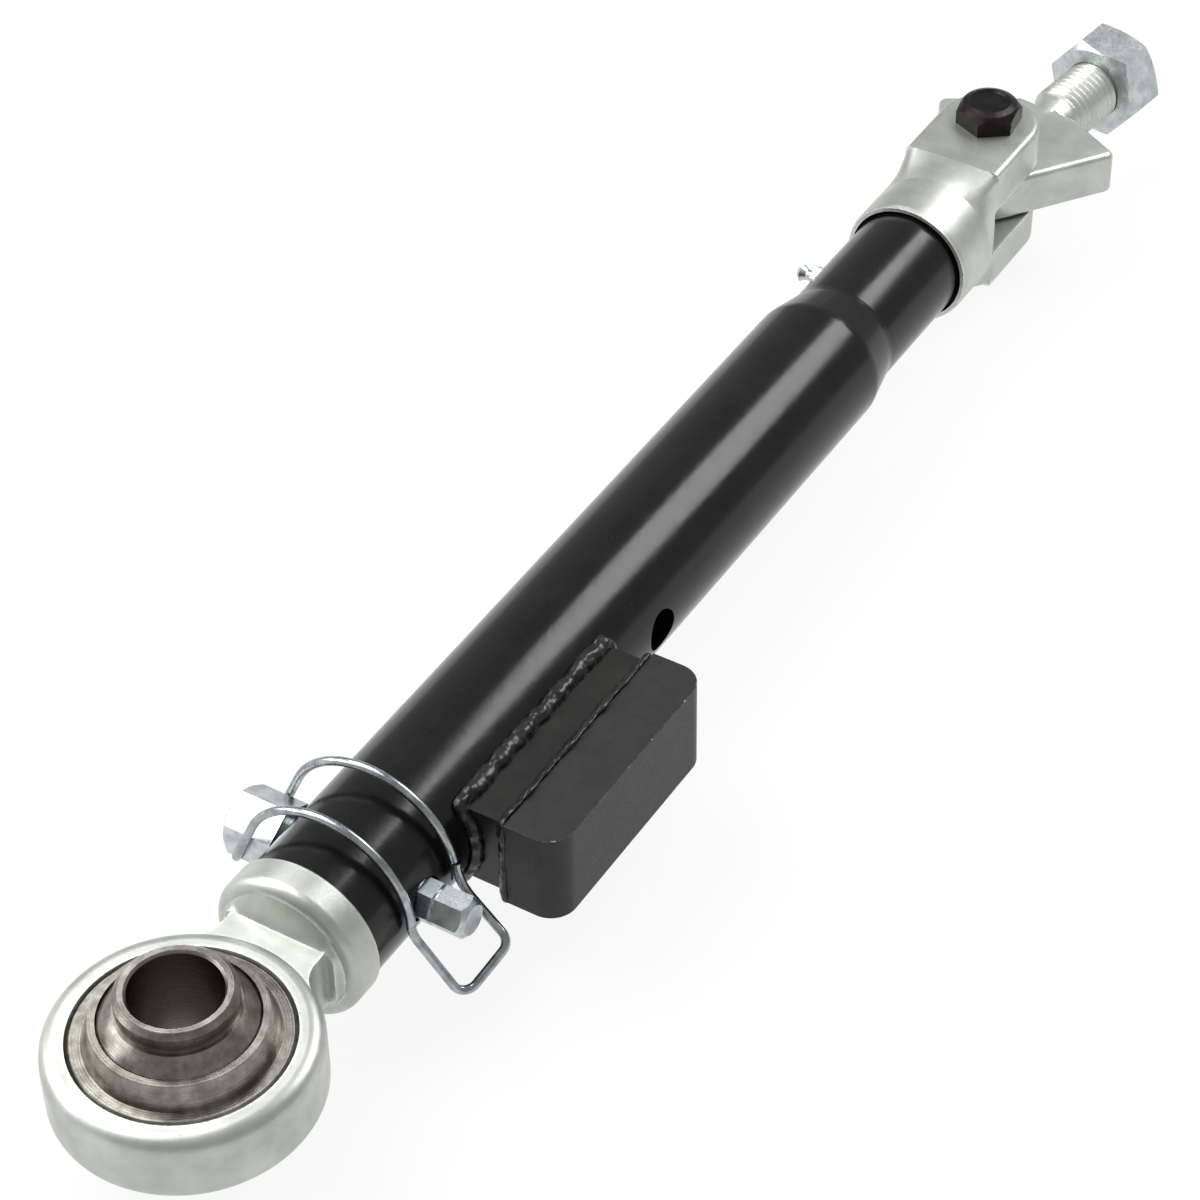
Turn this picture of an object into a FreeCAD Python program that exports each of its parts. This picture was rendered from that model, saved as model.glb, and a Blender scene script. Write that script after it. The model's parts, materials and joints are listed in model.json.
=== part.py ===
import FreeCAD, Part
import math
import os
import re
import Sketcher

# Telescopic lower link stabilizer: a forged eye with a swivel ball on a sliding shank, a painted tube with
# a welded stop block, a lock pin with a wire bail, and a screwed clevis that carries a swinging stud.
# Millimetres. Origin at the ball's centre, +X along the tube, +Z up along the ball's bore.

V = FreeCAD.Vector
X_AXIS = V(1, 0, 0)
Y_AXIS = V(0, 1, 0)
Z_AXIS = V(0, 0, 1)
ORIGIN = V(0, 0, 0)

# Driving sizes
SIZES = {
    # Fits, all radial but the face gap
    "running_fit": 0.05,
    "press_fit": 0.02,
    "sliding_fit": 0.3,
    "face_gap": 0.3,
    # Swivel ball with its race
    "ball_diameter": 62.4,
    "ball_width": 64,
    "ball_shoulder": 24.6,
    "ball_bore": 28.7,
    "sleeve_wall": 4.15,
    "sleeve_chamfer": 1.6,
    "bore_chamfer": 0.8,
    "race_wall": 3.1,
    "race_lip_height": 20.4,
    "race_lip_inset": 6.8,
    "race_lip_width": 2.2,
    "race_floor_inset": 1.8,
    "race_floor_height": 12.2,
    "race_stake_width": 1.4,
    # Eye, neck, collar and shank of the forging
    "eye_wall": 7.7,
    "eye_thickness": 25,
    "eye_edge_round": 5,
    "neck_width": 34,
    "neck_thickness": 22,
    "neck_flare": 9,
    "neck_reach": 6,
    "root_width": 40,
    "root_round": 4,
    "collar_step": 2.5,
    "collar_diameter": 53,
    "collar_width": 12.5,
    "collar_nose": 3.6,
    "collar_edge": 0.8,
    "shank_length": 143,
    "shank_chamfer": 1.5,
    # Tube, from its front end
    "tube_diameter": 50,
    "tube_wall": 5.5,
    "tube_straight": 319,
    "swage_length": 17,
    "swage_depth": 3.5,
    "reduced_length": 69,
    "reduced_wall": 6.5,
    "screw_chamfer": 1.5,
    "screw_depth": 66,
    "screw_engaged": 60,
    "spare_hole_reach": 168.5,
    # Lock pin and its wire bail
    "pin_reach": 27.2,
    "pin_diameter": 13.6,
    "pin_hole_play": 1.4,
    "pin_tip_out": 17,
    "pin_tip_chamfer": 1.2,
    "pin_nose_length": 18.5,
    "pin_nose_flats": 12.6,
    "pin_groove_reach": 11.5,
    "pin_groove_width": 1.2,
    "pin_groove_depth": 0.7,
    "head_clearance": 1,
    "pin_head_length": 19,
    "pin_head_flats": 21,
    "pin_head_chamfer": 2.4,
    "pin_travel": 40,
    "wire_diameter": 3,
    "wire_hole_depth": 4,
    "wire_hole_out": 12.6,
    "wire_hole_drop": 4.5,
    "wire_play": 0.4,
    "bow_clearance": 4.9,
    "bow_shift": 2.5,
    "bow_rise": 1.6,
    "bow_start": 49,
    "bow_turn": 54,
    "nip_drop": 3.7,
    "wire_bend": 1.8,
    "wire_nip": 12,
    "loop_bend": 4.5,
    "loop_front_out": 18,
    "loop_front_drop": 26.5,
    "loop_front_inset": 8.7,
    "loop_back_out": 24.5,
    "loop_back_drop": 13,
    "loop_back_inset": 8.2,
    # Stop block, the bar that spaces it off and the weld
    "block_reach": 51.8,
    "block_length": 90,
    "block_height": 34,
    "block_depth": 20,
    "block_corner": 9,
    "block_gap": 12.5,
    "web_inset": 2.5,
    "web_height": 30,
    "bead_radius": 3.2,
    # Grease nipple, set back from the tube's far end
    "nipple_setback": 41,
    "nipple_screw": 6,
    "nipple_screw_length": 4.5,
    "nipple_flats": 8,
    "nipple_base": 4,
    "nipple_length": 10.5,
    "nipple_neck": 4,
    "nipple_head": 6.4,
    "nipple_head_round": 1.4,
    "nipple_head_length": 3.6,
    "nipple_channel": 2.8,
    "nipple_mouth": 1.6,
    "nipple_ball": 2.4,
    # Clevis
    "cup_depth": 17,
    "cup_play": 1.5,
    "cup_wall": 1.9,
    "seal_room": 1.2,
    "cup_floor_wall": 2.5,
    "shoulder_length": 14,
    "fork_width": 39,
    "fork_height": 52,
    "fork_slot": 19.2,
    "fork_edge": 2.4,
    "throat_sink": 2.5,
    "pivot_reach": 30,
    "seal_width": 4,
    "seal_inset": 2.5,
    # Pivot bolt, nut, lock ring and bush
    "bolt_diameter": 14,
    "bolt_flats": 22,
    "bolt_roll": 6.4,
    "bolt_head_height": 9,
    "head_round": 3,
    "dish_diameter": 14.5,
    "dish_depth": 0.8,
    "bolt_past_nut": 1,
    "nut_hex_height": 10,
    "nut_height": 14,
    "nut_crown_diameter": 20.4,
    "ring_height": 3.2,
    "ring_thickness": 1.9,
    "ring_lip": 0.6,
    "bush_wall": 3,
    # Swinging arm and its nut
    "arm_angle": -7.5,
    "arm_thickness": 18,
    "arm_end_radius": 17.5,
    "wing_place": 28,
    "wing_skew": 4.8,
    "wing_half_width": 38,
    "wing_back": 43,
    "wing_back_half_width": 12.5,
    "wing_round": 3,
    "arm_edge": 2.4,
    "stud_diameter": 24,
    "stud_root_diameter": 21,
    "stud_thread_start": 52,
    "stud_chamfer": 2,
    "stud_length": 95,
    "stud_nut_place": 75,
    "stud_nut_flats": 36,
    "stud_nut_height": 19,
    "nut_cone_reach": 1.7,
    "stud_nut_roll": 8,
    "stud_nut_chamfer": 0.8,
}

# Places that follow from the sizes, as sums of them: radii, and distances along the tube from the ball
RACE_RADIUS = "ball_diameter / 2 + race_wall"
EYE_RADIUS = RACE_RADIUS + " + eye_wall"
NECK_END = EYE_RADIUS + " + neck_reach"
COLLAR_FACE = NECK_END + " + collar_step"
TUBE_START = COLLAR_FACE + " + collar_width"
SHANK_RADIUS = "tube_diameter / 2 - tube_wall - sliding_fit"
SMALL_RADIUS = "tube_diameter / 2 - swage_depth"
SCREW_RADIUS = SMALL_RADIUS + " - reduced_wall"
PIN_PLACE = TUBE_START + " + pin_reach"
PIN_HOLE_RADIUS = "pin_diameter / 2 + pin_hole_play / 2"
PIN_HEAD = "tube_diameter / 2 + head_clearance"
BLOCK_START = TUBE_START + " + block_reach"
BLOCK_BACK = "- tube_diameter / 2 - block_gap"
TAPER_START = TUBE_START + " + tube_straight"
TAPER_END = TAPER_START + " + swage_length"
TUBE_END = TAPER_END + " + reduced_length"
NIPPLE_PLACE = TUBE_END + " - nipple_setback"
CUP_LIP = TUBE_END + " - cup_depth"
CUP_FLOOR = TUBE_END + " + cup_play"
CUP_RADIUS = SMALL_RADIUS + " + seal_room + cup_wall"
SHOULDER = CUP_FLOOR + " + cup_floor_wall"
FORK_ROOT = SHOULDER + " + shoulder_length"
PIVOT_PLACE = FORK_ROOT + " + pivot_reach"
BOLT_FIT = "bolt_diameter / 2 + running_fit"

# How near, in mm, an edge lies to the place it is picked by
NEAR = 0.1

os.makedirs("parts", exist_ok=True)
document = FreeCAD.newDocument("lower_link_stabilizer")
sheet = document.addObject("Spreadsheet::Sheet", "Sizes")
for row, (name, value) in enumerate(SIZES.items(), start=1):
    sheet.set(f"A{row}", name)
    sheet.set(f"B{row}", str(value))
    sheet.setAlias(f"B{row}", name)
document.recompute()

TERM = re.compile(r"([+-]?)\s*([a-z_]\w*|[\d.]+)(?:\s*/\s*([\d.]+))?")


def amount(formula):
    """The value of a sum such as "tube_diameter / 2 + face_gap", whose words are sizes in the sheet."""
    total = 0.0
    for sign, word, divisor in TERM.findall(formula):
        value = float(word) if word[0].isdigit() else float(sheet.get(word))
        total += (-value if sign == "-" else value) / float(divisor or 1)
    return total


def bind(target, prop, formula):
    """Tie a property to a sum of sizes in the sheet."""
    target.setExpression(prop, re.sub(r"([a-z_]\w*)", r"Sizes.\1", formula))


# Bodies made from sketches
def new_body(label):
    body = document.addObject("PartDesign::Body", label)
    body.Label = label
    return body


def new_sketch(body, role, offset=None):
    sketch = body.newObject("Sketcher::SketchObject", body.Name + "_sketch")
    plane = [feature for feature in body.Origin.OriginFeatures if feature.Role == role][0]
    sketch.AttachmentSupport = [(plane, "")]
    sketch.MapMode = "FlatFace"
    if offset:
        bind(sketch, "AttachmentOffset.Base.z", offset)
    return sketch


def place_point(sketch, geometry, end, x, y):
    """Fix a point of the sketch by its two distances from the origin."""
    for kind, formula, axis in (("DistanceX", x, -2), ("DistanceY", y, -1)):
        if formula == "0":
            sketch.addConstraint(Sketcher.Constraint("PointOnObject", geometry, end, axis))
            continue
        index = sketch.addConstraint(Sketcher.Constraint(kind, -1, 1, geometry, end, amount(formula)))
        bind(sketch, f"Constraints[{index}]", formula)


def polygon(sketch, corners):
    """A closed outline of straight lines through the corners."""
    spots = [V(amount(x), amount(y), 0) for x, y in corners]
    first = sketch.GeometryCount
    count = len(corners)
    for i in range(count):
        sketch.addGeometry(Part.LineSegment(spots[i], spots[(i + 1) % count]))
    for i in range(count):
        following = first + (i + 1) % count
        sketch.addConstraint(Sketcher.Constraint("Coincident", first + i, 2, following, 1))
    for i in range(count):
        place_point(sketch, first + i, 1, *corners[i])
    return sketch


def circle(sketch, x, y, radius):
    index = sketch.addGeometry(Part.Circle(V(amount(x), amount(y), 0), Z_AXIS, amount(radius)))
    place_point(sketch, index, 3, x, y)
    size = sketch.addConstraint(Sketcher.Constraint("Radius", index, amount(radius)))
    bind(sketch, f"Constraints[{size}]", radius)
    return sketch


def rounded_rectangle(sketch, half_width, half_height, radius):
    """A rectangle about the sketch's origin with its four corners rounded."""
    a = amount(half_width)
    b = amount(half_height)
    r = amount(radius)
    first = sketch.GeometryCount
    for k, (sx, sy) in enumerate(((1, 1), (-1, 1), (-1, -1), (1, -1))):
        centre = V(sx * (a - r), sy * (b - r), 0)
        start = math.pi / 2 * k
        sketch.addGeometry(Part.ArcOfCircle(Part.Circle(centre, Z_AXIS, r), start, start + math.pi / 2))
    for k in range(4):
        here = sketch.getPoint(first + k, 2)
        there = sketch.getPoint(first + (k + 1) % 4, 1)
        sketch.addGeometry(Part.LineSegment(here, there))
    for k in range(4):
        line = first + 4 + k
        sketch.addConstraint(Sketcher.Constraint("Tangent", first + k, 2, line, 1))
        sketch.addConstraint(Sketcher.Constraint("Tangent", line, 2, first + (k + 1) % 4, 1))
        sketch.addConstraint(Sketcher.Constraint("Vertical" if k % 2 else "Horizontal", line))
        if k:
            sketch.addConstraint(Sketcher.Constraint("Equal", first, first + k))
    rules = (
        (Sketcher.Constraint("Radius", first, r), radius),
        (Sketcher.Constraint("DistanceX", -1, 1, first + 7, 1, a), half_width),
        (Sketcher.Constraint("DistanceY", -1, 1, first + 4, 1, b), half_height),
        (Sketcher.Constraint("DistanceX", first + 5, 1, -1, 1, a), half_width),
        (Sketcher.Constraint("DistanceY", first + 6, 1, -1, 1, b), half_height),
    )
    for rule, formula in rules:
        bind(sketch, f"Constraints[{sketch.addConstraint(rule)}]", formula)
    return sketch


def hexagon(sketch, flats, turned=False):
    """A hexagon about the sketch's origin, with flats facing the sketch's x axis unless it is turned."""
    radius = amount(flats) / math.sqrt(3)
    start = 0 if turned else math.pi / 6
    corners = [V(radius * math.cos(start + math.pi / 3 * k), radius * math.sin(start + math.pi / 3 * k), 0)
               for k in range(6)]
    for k in range(6):
        sketch.addGeometry(Part.LineSegment(corners[k], corners[(k + 1) % 6]))
    guide = sketch.addGeometry(Part.Circle(ORIGIN, Z_AXIS, radius), True)
    sketch.addConstraint(Sketcher.Constraint("Coincident", guide, 3, -1, 1))
    for k in range(6):
        sketch.addConstraint(Sketcher.Constraint("Coincident", k, 2, (k + 1) % 6, 1))
        sketch.addConstraint(Sketcher.Constraint("PointOnObject", k, 1, guide))
        if k:
            sketch.addConstraint(Sketcher.Constraint("Equal", 0, k))
    level = Sketcher.Constraint("Horizontal", 1) if turned else Sketcher.Constraint("Vertical", 5)
    sketch.addConstraint(level)
    side, far = (1, 4) if turned else (5, 2)
    size = sketch.addConstraint(Sketcher.Constraint("Distance", side, 1, far, amount(flats)))
    bind(sketch, f"Constraints[{size}]", flats)
    return sketch


def feature(body, kind, sketch, name):
    made = body.newObject("PartDesign::" + kind, f"{body.Name}_{name}")
    made.Profile = sketch
    sketch.Visibility = False
    return made


def revolve(body, sketch, name="turned", axis="H_Axis", kind="Revolution"):
    made = feature(body, kind, sketch, name)
    made.ReferenceAxis = (sketch, [axis])
    made.Angle = 360
    return made


def pad(body, sketch, length, name="pad", both_ways=True, back=False):
    made = feature(body, "Pad", sketch, name)
    made.Midplane = both_ways
    made.Reversed = back
    bind(made, "Length", length)
    return made


def pocket(body, sketch, name="hole", length=None, both_ways=True, back=False):
    made = feature(body, "Pocket", sketch, name)
    made.Midplane = both_ways
    made.Reversed = back
    if length:
        bind(made, "Length", length)
    else:
        made.Type = "ThroughAll"
    return made


def edges_where(shape, test):
    """Names of the edges whose middle point passes the test."""
    names = []
    for index, edge in enumerate(shape.Edges, start=1):
        middle = edge.valueAt((edge.FirstParameter + edge.LastParameter) / 2)
        if test(edge, middle):
            names.append(f"Edge{index}")
    return names


def soften(body, kind, size, test, name):
    """A fillet or chamfer on the edges of the body's last feature that pass the test."""
    document.recompute()
    base = body.Tip
    names = edges_where(base.Shape, test)
    made = body.newObject("PartDesign::" + kind, f"{body.Name}_{name}")
    made.Base = (base, names)
    bind(made, "Radius" if kind == "Fillet" else "Size", size)
    return made


# Plain solids and what joins them
def placed(made, x, y, z, axis):
    turns = {
        "x": FreeCAD.Rotation(Y_AXIS, 90),
        "y": FreeCAD.Rotation(X_AXIS, -90),
        "-y": FreeCAD.Rotation(X_AXIS, 90),
        "z": FreeCAD.Rotation(),
    }
    made.Placement = FreeCAD.Placement(ORIGIN, turns[axis])
    for prop, formula in (("x", x), ("y", y), ("z", z)):
        if formula != "0":
            bind(made, f"Placement.Base.{prop}", formula)
    return made


def cylinder(name, radius, height, x="0", y="0", z="0", axis="z"):
    made = document.addObject("Part::Cylinder", name)
    bind(made, "Radius", radius)
    bind(made, "Height", height)
    return placed(made, x, y, z, axis)


def cone(name, radius, end_radius, height, x="0", y="0", z="0", axis="z"):
    made = document.addObject("Part::Cone", name)
    bind(made, "Radius1", radius)
    bind(made, "Radius2", end_radius)
    bind(made, "Height", height)
    return placed(made, x, y, z, axis)


def box(name, length, width, height, x="0", y="0", z="0"):
    made = document.addObject("Part::Box", name)
    bind(made, "Length", length)
    bind(made, "Width", width)
    bind(made, "Height", height)
    return placed(made, x, y, z, "z")


def sphere(name, radius, x="0", y="0", z="0"):
    made = document.addObject("Part::Sphere", name)
    bind(made, "Radius", radius)
    return placed(made, x, y, z, "z")


def joined(name, *pieces):
    made = document.addObject("Part::MultiFuse", name)
    made.Shapes = list(pieces)
    made.Refine = True
    return made


def cut(name, base, *tools):
    made = document.addObject("Part::Cut", name)
    made.Base = base
    made.Tool = tools[0] if len(tools) == 1 else joined(name + "_tools", *tools)
    made.Refine = True
    return made


def overlap(name, first, second):
    made = document.addObject("Part::Common", name)
    made.Base = first
    made.Tool = second
    made.Refine = True
    return made


nodes = []


def node(made, label):
    """Name a finished piece after its node."""
    made.Label = label
    nodes.append(made)
    return made


# Eye forging: ring, neck, lofted collar and slotted sliding shank in one piece
def make_eye_end():
    body = new_body("eye_forging")
    pad(body, circle(new_sketch(body, "XY_Plane"), "0", "0", EYE_RADIUS), "eye_thickness", "ring")
    soften(body, "Fillet", "eye_edge_round",
           lambda edge, middle: edge.Curve.TypeId == "Part::GeomCircle", "ring_edges")
    neck = polygon(new_sketch(body, "XY_Plane"), [
        ("0", "- neck_width / 2"),
        (COLLAR_FACE, "- neck_width / 2"),
        (COLLAR_FACE, "neck_width / 2"),
        ("0", "neck_width / 2"),
    ])
    pad(body, neck, "neck_thickness", "neck")
    half_width = amount("neck_width / 2")
    inside_ring = amount(EYE_RADIUS)

    def meets_ring(edge, middle):
        upright = abs(edge.tangentAt(edge.FirstParameter).z) > 0.99
        return upright and abs(abs(middle.y) - half_width) < NEAR and middle.x < inside_ring

    soften(body, "Fillet", "neck_flare", meets_ring, "flare")
    narrow = rounded_rectangle(new_sketch(body, "YZ_Plane", NECK_END), "root_width / 2",
                               "neck_thickness / 2", "root_round")
    wide = circle(new_sketch(body, "YZ_Plane", COLLAR_FACE), "0", "0",
                  "collar_diameter / 2 - collar_nose - collar_edge")
    loft = feature(body, "AdditiveLoft", narrow, "collar_slope")
    loft.Sections = [(wide, [""])]
    loft.Ruled = False
    collar_radius = "collar_diameter / 2"
    profile = polygon(new_sketch(body, "XZ_Plane"), [
        (COLLAR_FACE, "0"),
        (COLLAR_FACE, collar_radius),
        (TUBE_START + " - collar_edge", collar_radius),
        (TUBE_START, collar_radius + " - collar_edge"),
        (TUBE_START, SHANK_RADIUS),
        (TUBE_START + " + shank_length - shank_chamfer", SHANK_RADIUS),
        (TUBE_START + " + shank_length", SHANK_RADIUS + " - shank_chamfer"),
        (TUBE_START + " + shank_length", "0"),
    ])
    revolve(body, profile, "collar_and_shank")
    front = amount(COLLAR_FACE)
    rim = amount(collar_radius)
    soften(body, "Fillet", "collar_nose",
           lambda edge, middle:
               abs(middle.x - front) < NEAR and abs(math.hypot(middle.y, middle.z) - rim) < NEAR,
           "collar_front")
    pocket(body, circle(new_sketch(body, "XY_Plane"), "0", "0", RACE_RADIUS), "race_seat")
    slot = polygon(new_sketch(body, "XZ_Plane"), [
        (PIN_PLACE, "- pin_diameter / 2 - pin_hole_play / 2"),
        (PIN_PLACE + " + pin_travel", "- pin_diameter / 2 - pin_hole_play / 2"),
        (PIN_PLACE + " + pin_travel", PIN_HOLE_RADIUS),
        (PIN_PLACE, PIN_HOLE_RADIUS),
    ])
    pocket(body, slot, "slot")
    for end in (PIN_PLACE, PIN_PLACE + " + pin_travel"):
        pocket(body, circle(new_sketch(body, "XZ_Plane"), end, "0", PIN_HOLE_RADIUS), "slot_end")
    return node(body, "eye_end")


# Race ring with its dished faces, pressed into the eye
def make_ball_race():
    body = new_body("race_ring")
    outer = RACE_RADIUS + " - press_fit"
    lip = "ball_diameter / 2 - race_lip_inset"
    upper = [
        (lip, "race_lip_height"),
        (lip + " + race_lip_width", "race_lip_height"),
        ("ball_diameter / 2 - race_floor_inset", "race_floor_height"),
        (outer + " - race_stake_width", "race_floor_height"),
        (outer, "race_floor_height - race_stake_width"),
    ]
    lower = [(x, "- " + y.replace(" - ", " + ")) for x, y in reversed(upper)]
    revolve(body, polygon(new_sketch(body, "XZ_Plane"), upper + lower), axis="V_Axis")
    hollow = sphere("race_hollow", "ball_diameter / 2 + running_fit")
    return node(cut("race_cut", body, hollow), "ball_race")


# Swivel ball with its two sleeves and bore
def make_swivel_ball():
    band = overlap("ball_band", sphere("ball_sphere", "ball_diameter / 2"),
                   cylinder("ball_slice", "ball_diameter / 2", "ball_shoulder + ball_shoulder",
                            z="- ball_shoulder"))
    body = new_body("ball_sleeve")
    outer = "ball_bore / 2 + sleeve_wall"
    profile = polygon(new_sketch(body, "XZ_Plane"), [
        ("ball_bore / 2", "ball_width / 2 - bore_chamfer"),
        ("ball_bore / 2 + bore_chamfer", "ball_width / 2"),
        (outer + " - sleeve_chamfer", "ball_width / 2"),
        (outer, "ball_width / 2 - sleeve_chamfer"),
        (outer, "- ball_width / 2 + sleeve_chamfer"),
        (outer + " - sleeve_chamfer", "- ball_width / 2"),
        ("ball_bore / 2 + bore_chamfer", "- ball_width / 2"),
        ("ball_bore / 2", "- ball_width / 2 + bore_chamfer"),
    ])
    revolve(body, profile, axis="V_Axis")
    drill = cylinder("ball_drill", "ball_bore / 2", "ball_width", z="- ball_width / 2")
    band = cut("ball_bored", band, drill)
    return node(joined("ball", band, body), "swivel_ball")


# Outer tube, swaged to a smaller end that is threaded inside
def make_outer_tube():
    body = new_body("tube")
    outer = "tube_diameter / 2"
    inner = "tube_diameter / 2 - tube_wall"
    bore = SCREW_RADIUS
    profile = polygon(new_sketch(body, "XZ_Plane"), [
        (TUBE_START, inner),
        (TUBE_START, outer),
        (TAPER_START, outer),
        (TAPER_END, SMALL_RADIUS),
        (TUBE_END, SMALL_RADIUS),
        (TUBE_END, bore),
        (TUBE_END + " - screw_depth", bore),
        (TAPER_START + " + tube_wall / 2", inner),
    ])
    revolve(body, profile)
    for corner, reach in ((TAPER_START, outer), (TAPER_END, SMALL_RADIUS)):
        place = amount(corner)
        radius = amount(reach)
        soften(body, "Fillet", "tube_wall + tube_wall",
               lambda edge, middle, place=place, radius=radius:
               abs(middle.x - place) < NEAR and abs(math.hypot(middle.y, middle.z) - radius) < NEAR, "swage")
    for place in (PIN_PLACE, TUBE_START + " + spare_hole_reach"):
        pocket(body, circle(new_sketch(body, "XZ_Plane"), place, "0", PIN_HOLE_RADIUS), "pin_hole")
    grease = circle(new_sketch(body, "XZ_Plane"), NIPPLE_PLACE, "0", "nipple_screw / 2 + running_fit")
    pocket(body, grease, "grease_hole", length="tube_diameter", both_ways=False)
    return node(body, "outer_tube")


# Stop block, the bar between it and the tube, and the weld beads along their seams
def make_stop_block():
    bar = box("block_bar", "block_length", "block_depth", "block_height",
              BLOCK_START, BLOCK_BACK + " - block_depth", "- block_height / 2")
    document.recompute()
    front = amount(BLOCK_BACK + " - block_depth")
    rounded = document.addObject("Part::Fillet", "block_rounded")
    rounded.Base = bar
    radius = amount("block_corner")

    def outer_upright(edge, middle):
        return abs(edge.tangentAt(edge.FirstParameter).z) > 0.99 and abs(middle.y - front) < NEAR

    rounded.Edges = [(int(name[4:]), radius, radius) for name in edges_where(bar.Shape, outer_upright)]
    return node(rounded, "stop_block")


def make_block_web():
    bar = box("web_bar", "block_length - web_inset - web_inset", "block_gap + tube_diameter / 4",
              "web_height",
              BLOCK_START + " + web_inset", BLOCK_BACK, "- web_height / 2")
    seat = cylinder("web_seat", "tube_diameter / 2", "block_length", x=BLOCK_START, axis="x")
    return node(cut("web", bar, seat), "block_web")


def make_weld_beads():
    """Rounded runs of weld metal round both ends of the bar, on the tube and on the block."""
    start = amount(BLOCK_START + " + web_inset")
    end = amount(BLOCK_START + " + block_length - web_inset")
    radius = amount("bead_radius")
    half_web = amount("web_height / 2")
    tube_radius = amount("tube_diameter / 2")
    block_back = amount(BLOCK_BACK)
    room = amount("block_length")
    seam_y = -math.sqrt(tube_radius ** 2 - half_web ** 2)
    half_arc = math.degrees(math.asin(half_web / tube_radius))
    metal = []
    for y in (seam_y, block_back):
        for z in (half_web, -half_web):
            metal.append(Part.makeCylinder(radius, end - start, V(start, y, z), X_AXIS))
            metal.extend(Part.makeSphere(radius, V(x, y, z)) for x in (start, end))
    for x in (start, end):
        metal.append(Part.makeCylinder(radius, 2 * half_web, V(x, block_back, -half_web), Z_AXIS))
        section = Part.Wire(Part.Circle(V(x, seam_y, half_web), V(0, -half_web, seam_y), radius).toShape())
        metal.append(Part.Face(section).revolve(ORIGIN, X_AXIS, 2 * half_arc))
    tube_solid = Part.makeCylinder(tube_radius, room + room, V(start - room / 2, 0, 0), X_AXIS)
    web_solid = Part.makeBox(end - start, -block_back, 2 * half_web, V(start, block_back, -half_web))
    block_solid = Part.makeBox(room + room, room, room, V(start - room / 2, block_back - room, -room / 2))
    welds = metal[0].fuse(metal[1:]).cut([tube_solid, web_solid, block_solid]).removeSplitter()
    made = document.addObject("Part::Feature", "welds")
    made.Shape = welds
    return node(made, "weld_beads")


# Lock pin: hexagon head with cross holes for the wire, plain shank and a grooved hexagon nose
def make_lock_pin():
    body = new_body("pin")
    tip = "tube_diameter / 2 + pin_tip_out"
    head = hexagon(new_sketch(body, "XZ_Plane", "- tube_diameter / 2 - head_clearance"), "pin_head_flats")
    pad(body, head, "pin_head_length", "head", both_ways=False, back=True)
    radius = "pin_diameter / 2"
    shank = polygon(new_sketch(body, "XY_Plane"), [
        ("0", "- " + tip.replace("+", "-") + " + pin_nose_length"),
        (radius, "- " + tip.replace("+", "-") + " + pin_nose_length"),
        (radius, PIN_HEAD),
        ("0", PIN_HEAD),
    ])
    revolve(body, shank, "shank", axis="V_Axis")
    nose = hexagon(new_sketch(body, "XZ_Plane", tip + " - pin_nose_length"), "pin_nose_flats", turned=True)
    pad(body, nose, "pin_nose_length", "nose", both_ways=False)
    groove_end = "- " + tip.replace("+", "-") + " + pin_groove_reach"
    groove = polygon(new_sketch(body, "XY_Plane"), [
        ("pin_nose_flats / 2 - pin_groove_depth", groove_end),
        (radius + " + pin_nose_flats", groove_end),
        (radius + " + pin_nose_flats", groove_end + " + pin_groove_width"),
        ("pin_nose_flats / 2 - pin_groove_depth", groove_end + " + pin_groove_width"),
    ])
    revolve(body, groove, "groove", axis="V_Axis", kind="Groove")
    cross = circle(new_sketch(body, "YZ_Plane"), PIN_HEAD + " + wire_hole_out", "- wire_hole_drop",
                   "wire_diameter / 2 + running_fit")
    pocket(body, cross, "wire_hole")
    crown = cone("pin_crown", "pin_head_flats / 2 + pin_head_chamfer",
                 "pin_head_flats / 2 - pin_head_chamfer / 2",
                 "pin_head_chamfer", axis="y", y=PIN_HEAD + " + pin_head_length - pin_head_chamfer")
    rod = cylinder("pin_room", "pin_head_flats",
                   tip + " + tube_diameter / 2 + head_clearance + pin_head_length - pin_head_chamfer",
                   axis="y", y="- " + tip.replace("+", "-"))
    point = cone("pin_point", "pin_nose_flats / 2 - pin_tip_chamfer", "pin_nose_flats / 2 + pin_tip_chamfer",
                 "pin_tip_chamfer + pin_tip_chamfer", axis="y", y="- " + tip.replace("+", "-"))
    behind = cylinder("pin_behind", "pin_head_flats",
                      tip + " + tube_diameter / 2 + pin_head_length", axis="y",
                      y="- " + tip.replace("+", "-") + " + pin_tip_chamfer + pin_tip_chamfer")
    trimmed = overlap("pin_trimmed", body, joined("pin_head_envelope", rod, crown))
    made = overlap("pin_pointed", trimmed, joined("pin_nose_envelope", point, behind))
    bind(made, "Placement.Base.x", PIN_PLACE)
    return node(made, "lock_pin")


# Wire bail: ends in the pin head's holes, two legs over the tube, loop round the pin's nose
def rounded_path(points, bends):
    """Straight runs through the points, joined by tangent arcs of the bend radii."""
    edges = []
    here = points[0]
    for before, corner, after, radius in zip(points, points[1:], points[2:], bends):
        inward = (corner - before).normalize()
        outward = (after - corner).normalize()
        turn = inward.getAngle(outward)
        reach = radius * math.tan(turn / 2)
        start = corner - inward * reach
        end = corner + outward * reach
        middle = corner + (outward - inward).normalize() * (radius / math.cos(turn / 2) - radius)
        edges.append(Part.LineSegment(here, start).toShape())
        edges.append(Part.Arc(start, middle, end).toShape())
        here = end
    edges.append(Part.LineSegment(here, points[-1]).toShape())
    return Part.Wire(edges)


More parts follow.
